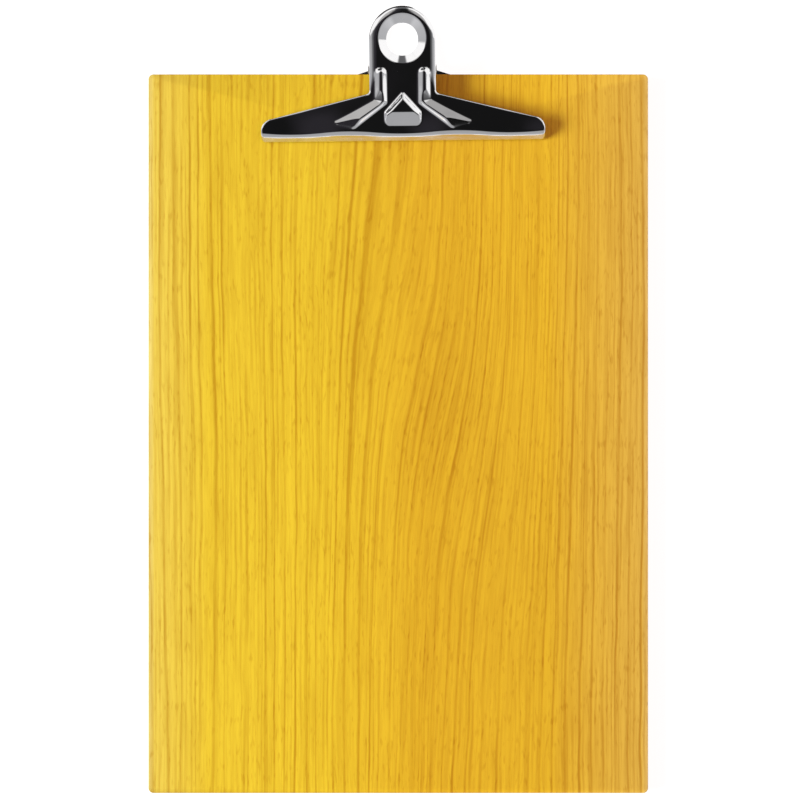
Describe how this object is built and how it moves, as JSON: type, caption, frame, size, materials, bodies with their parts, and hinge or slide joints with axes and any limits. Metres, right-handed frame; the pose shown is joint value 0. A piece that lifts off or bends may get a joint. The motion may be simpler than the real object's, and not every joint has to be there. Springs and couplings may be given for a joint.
{
  "type": "clipboard",
  "caption": "A4 clipboard: wood-print board with a sprung chrome hanging clip that pivots on a pin over its top edge and presses a wide jaw on the paper.",
  "frame": {"origin": "middle of the footprint, on the surface that the clipboard lies on face up", "axes": "+Z is the board's front normal, +Y runs along the board towards the clip, +X is to the right seen from the front"},
  "size_m": [0.22, 0.3444, 0.0242],
  "materials": {
    "fibreboard": "raw compressed fibre edge, tinted yellow",
    "wood_print": "satin wood-grain print, golden yellow",
    "chrome_plate": "bright plated pressed steel",
    "pin_steel": "bright plated",
    "spring_steel": "drawn spring wire",
    "rivet_steel": "nickel plated"
  },
  "bodies": {
    "board_assembly": {"board_core": "fibreboard", "front_facing": "wood_print", "back_facing": "wood_print", "rear_jaw_plate": "chrome_plate", "pivot_pin": "pin_steel", "torsion_spring": "spring_steel", "rivet_left": "rivet_steel", "rivet_right": "rivet_steel"},
    "front_jaw": {"front_jaw_plate": "chrome_plate"}
  },
  "joints": [
    {"name": "jaw_hinge", "type": "hinge", "parent": "board_assembly", "child": "front_jaw", "pos_m": [0.00183, 0.1458, 0.0104], "axis": [-0.9999, -0.0113, 0], "range_deg": [0, 35], "stiffness_Nm_per_rad": 0.55, "springref_deg": -34.38, "deforming": ["torsion_spring"]}
  ]
}
